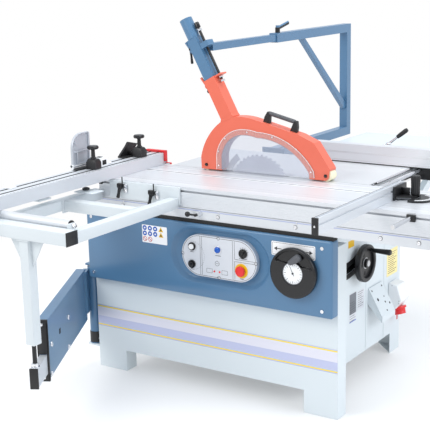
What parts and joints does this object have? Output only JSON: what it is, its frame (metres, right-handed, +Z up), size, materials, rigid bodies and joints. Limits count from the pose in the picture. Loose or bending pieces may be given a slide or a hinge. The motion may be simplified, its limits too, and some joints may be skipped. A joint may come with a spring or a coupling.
{
  "type": "sliding table panel saw",
  "caption": "Sliding-table panel saw: tilting circular blade, guard on a gantry, outrigger with crosscut fence, mitre fence and rip fence.",
  "frame": {"origin": "floor level, midway between the two front anchor holes", "axes": "+Z up, +X along the stroke of the sliding table towards the infeed end, +Y from the operator's side panel to the rear"},
  "size_m": [1.7596, 2.7015, 1.5805],
  "materials": {
    "light_grey_enamel": "satin powder coat",
    "blue_enamel": "satin powder coat",
    "orange_enamel": "satin powder coat",
    "anodised_aluminium": "brushed and anodised",
    "ground_iron": "ground flat",
    "black_plastic": "moulded",
    "steel": "turned",
    "chrome": "plated",
    "cast_iron": "as cast, painted",
    "motor_paint": "enamel",
    "rubber": "moulded",
    "clear_pane": "polycarbonate sheet",
    "ivory_plastic": "moulded nylon",
    "white_plastic": "moulded",
    "red_plastic": "moulded",
    "blue_lens": "moulded lens",
    "printed_foil": "printed film"
  },
  "bodies": {
    "base": {"front_frame": "light_grey_enamel", "cabinet_body": "light_grey_enamel", "fascia_panel": "blue_enamel", "control_plate": "anodised_aluminium", "signal_lamps": "blue_lens", "decals": "printed_foil", "arc_cover": "black_plastic", "accessory_bracket": "light_grey_enamel", "power_inlet": "white_plastic", "guide_rail": "anodised_aluminium", "screws": "steel", "main_table": "ground_iron", "table_insert": "steel", "extension_table": "light_grey_enamel", "fence_rail": "steel", "trunnions": "cast_iron", "gantry_frame": "blue_enamel", "hinge_bracket": "blue_enamel"},
    "start_button": {"start_button": "white_plastic"},
    "stop_button": {"stop_button": "black_plastic"},
    "emergency_stop": {"emergency_stop": "red_plastic"},
    "selector": {"selector_switch": "black_plastic"},
    "tilt_unit": {"tilt_frame": "cast_iron"},
    "saw_unit": {"saw_head": "cast_iron", "saw_motor": "motor_paint", "riving_knife": "steel", "dust_shroud": "motor_paint", "drive_belt": "rubber"},
    "blade": {"saw_blade": "steel", "arbor_shaft": "steel"},
    "motor_shaft": {"motor_pulley": "steel"},
    "tilt_wheel": {"tilt_handwheel": "black_plastic", "tilt_indicator": "white_plastic"},
    "tilt_grip": {"tilt_wheel_grip": "black_plastic"},
    "rise_wheel": {"rise_handwheel": "black_plastic"},
    "rise_grip": {"rise_wheel_grip": "black_plastic"},
    "gantry_arm": {"extraction_tube": "blue_enamel"},
    "hood": {"hood_shell": "orange_enamel", "hood_window": "clear_pane", "hood_handle": "black_plastic"},
    "front_roller": {"front_hood_roller": "ivory_plastic"},
    "rear_roller": {"rear_hood_roller": "ivory_plastic"},
    "screw": {"height_screw": "rubber"},
    "table": {"sliding_table": "anodised_aluminium", "push_rod": "chrome", "outrigger_frame": "light_grey_enamel"},
    "roller": {"outrigger_roller": "anodised_aluminium"},
    "crosscut": {"crosscut_fence": "anodised_aluminium"},
    "flip_stop": {"flip_stop": "black_plastic"},
    "second_stop": {"second_stop": "black_plastic"},
    "stop_flap": {"stop_flap": "white_plastic"},
    "protractor": {"mitre_protractor": "black_plastic"},
    "mitre": {"mitre_fence": "anodised_aluminium"},
    "mitre_handle": {"mitre_handle": "black_plastic"},
    "table_lock": {"table_lock_knob": "black_plastic"},
    "swing_arm": {"swing_arm": "blue_enamel"},
    "arm_extension": {"arm_extension": "anodised_aluminium"},
    "fence_carriage": {"fence_head": "black_plastic"},
    "rip_fence": {"rip_fence": "anodised_aluminium"},
    "fence_lever": {"fence_lever": "black_plastic"}
  },
  "joints": [
    {"name": "start_button_press", "type": "slide", "parent": "base", "child": "start_button", "axis": [0, 1, 0], "range_m": [0, 0.003], "stiffness_N_per_m": 400},
    {"name": "stop_button_press", "type": "slide", "parent": "base", "child": "stop_button", "axis": [0, 1, 0], "range_m": [0, 0.003], "stiffness_N_per_m": 400},
    {"name": "emergency_press", "type": "slide", "parent": "base", "child": "emergency_stop", "axis": [0, 1, 0], "range_m": [0, 0.006], "stiffness_N_per_m": 500},
    {"name": "selector_turn", "type": "hinge", "parent": "base", "child": "selector", "pos_m": [0.204, -0.084, 0.634], "axis": [0, -1, 0], "range_deg": [-45, 45]},
    {"name": "blade_tilt", "type": "hinge", "parent": "base", "child": "tilt_unit", "pos_m": [0, 0.295, 0.875], "axis": [-1, 0, 0], "range_deg": [0, 45]},
    {"name": "blade_rise", "type": "slide", "parent": "tilt_unit", "child": "saw_unit", "axis": [0, 0, 1], "range_m": [-0.095, 0]},
    {"name": "blade_spin", "type": "hinge", "parent": "saw_unit", "child": "blade", "pos_m": [0.054, 0.295, 0.809], "axis": [0, -1, 0], "continuous": true},
    {"name": "motor_spin", "type": "hinge", "parent": "saw_unit", "child": "motor_shaft", "pos_m": [0.054, 0.295, 0.6], "axis": [0, -1, 0], "continuous": true},
    {"name": "tilt_wheel_turn", "type": "hinge", "parent": "base", "child": "tilt_wheel", "pos_m": [0.442, -0.1, 0.594], "axis": [0, -1, 0], "range_deg": [0, 2880]},
    {"name": "tilt_grip_fold", "type": "hinge", "parent": "tilt_wheel", "child": "tilt_grip", "pos_m": [0.442, -0.109, 0.654], "axis": [1, 0, 0], "range_deg": [0, 90]},
    {"name": "rise_wheel_turn", "type": "hinge", "parent": "tilt_unit", "child": "rise_wheel", "pos_m": [0.5, 0.405, 0.515], "axis": [1, 0, 0], "range_deg": [-6540, 0]},
    {"name": "rise_grip_spin", "type": "hinge", "parent": "rise_wheel", "child": "rise_grip", "pos_m": [0.52, 0.44485, 0.56249], "axis": [1, 0, 0], "continuous": true},
    {"name": "gantry_reach", "type": "slide", "parent": "base", "child": "gantry_arm", "axis": [0, 1, 0], "range_m": [-0.01, 0.01]},
    {"name": "hood_height", "type": "slide", "parent": "gantry_arm", "child": "hood", "axis": [-0.4695, 0, 0.8829], "range_m": [0, 0.1]},
    {"name": "height_screw_turn", "type": "hinge", "parent": "gantry_arm", "child": "screw", "pos_m": [-0.19385, 0.295, 1.39655], "axis": [-0.4695, 0, 0.8829], "range_deg": [0, 3600]},
    {"name": "front_roller_spin", "type": "hinge", "parent": "hood", "child": "front_roller", "pos_m": [0.384, 0.295, 0.8995], "axis": [0, 1, 0], "continuous": true},
    {"name": "rear_roller_spin", "type": "hinge", "parent": "hood", "child": "rear_roller", "pos_m": [-0.196, 0.295, 0.8995], "axis": [0, 1, 0], "continuous": true},
    {"name": "table_slide", "type": "slide", "parent": "base", "child": "table", "axis": [1, 0, 0], "range_m": [-1.2, 0.1]},
    {"name": "outrigger_roller_spin", "type": "hinge", "parent": "table", "child": "roller", "pos_m": [0, -0.738, 0.8565], "axis": [1, 0, 0], "continuous": true},
    {"name": "crosscut_swivel", "type": "hinge", "parent": "table", "child": "crosscut", "pos_m": [-0.49, 0.2, 0.8753], "axis": [0, 0, 1], "range_deg": [-45, 0]},
    {"name": "flip_stop_slide", "type": "slide", "parent": "crosscut", "child": "flip_stop", "axis": [0, 1, 0], "range_m": [-0.8, 0.08]},
    {"name": "second_stop_slide", "type": "slide", "parent": "crosscut", "child": "second_stop", "axis": [0, 1, 0], "range_m": [-0.06, 0.06]},
    {"name": "stop_flap_fold", "type": "hinge", "parent": "flip_stop", "child": "stop_flap", "pos_m": [-0.541, -0.15, 0.9436], "axis": [0, -1, 0], "range_deg": [0, 80]},
    {"name": "mitre_slide", "type": "slide", "parent": "table", "child": "protractor", "axis": [1, 0, 0], "range_m": [-0.28, 0.15]},
    {"name": "mitre_swivel", "type": "hinge", "parent": "protractor", "child": "mitre", "pos_m": [0.832, 0.13, 0.876], "axis": [0, 0, 1], "range_deg": [-45, 45]},
    {"name": "mitre_handle_turn", "type": "hinge", "parent": "protractor", "child": "mitre_handle", "pos_m": [0.832, 0.13, 0.9], "axis": [0, 0, 1], "range_deg": [0, 360]},
    {"name": "table_lock_turn", "type": "hinge", "parent": "base", "child": "table_lock", "pos_m": [-0.008, -0.08, 0.77], "axis": [0, -1, 0], "range_deg": [0, 90]},
    {"name": "swing_arm_turn", "type": "hinge", "parent": "base", "child": "swing_arm", "pos_m": [-0.632, -0.01, 0.3], "axis": [0, 0, 1], "range_deg": [-80, 10]},
    {"name": "arm_extension_slide", "type": "slide", "parent": "swing_arm", "child": "arm_extension", "axis": [0.471, -0.8821, 0], "range_m": [-0.07, 0.3]},
    {"name": "rip_fence_travel", "type": "slide", "parent": "base", "child": "fence_carriage", "axis": [0, 1, 0], "range_m": [-0.31, 0.45]},
    {"name": "rip_fence_shift", "type": "slide", "parent": "fence_carriage", "child": "rip_fence", "axis": [1, 0, 0], "range_m": [-0.3, 0.03]},
    {"name": "fence_lever_turn", "type": "hinge", "parent": "fence_carriage", "child": "fence_lever", "pos_m": [0.43, 0.772, 0.96], "axis": [0, 0, 1], "range_deg": [0, 60]}
  ],
  "couplings": [
    {"joint": "motor_spin", "follows": "blade_spin", "ratio": 0.78947},
    {"joint": "tilt_wheel_turn", "follows": "blade_tilt", "ratio": 64},
    {"joint": "rise_wheel_turn", "follows": "blade_rise", "rad_per_m": 1200},
    {"joint": "height_screw_turn", "follows": "hood_height", "rad_per_m": 628},
    {"joint": "swing_arm_turn", "follows": "table_slide", "rad_per_m": 1.1}
  ]
}
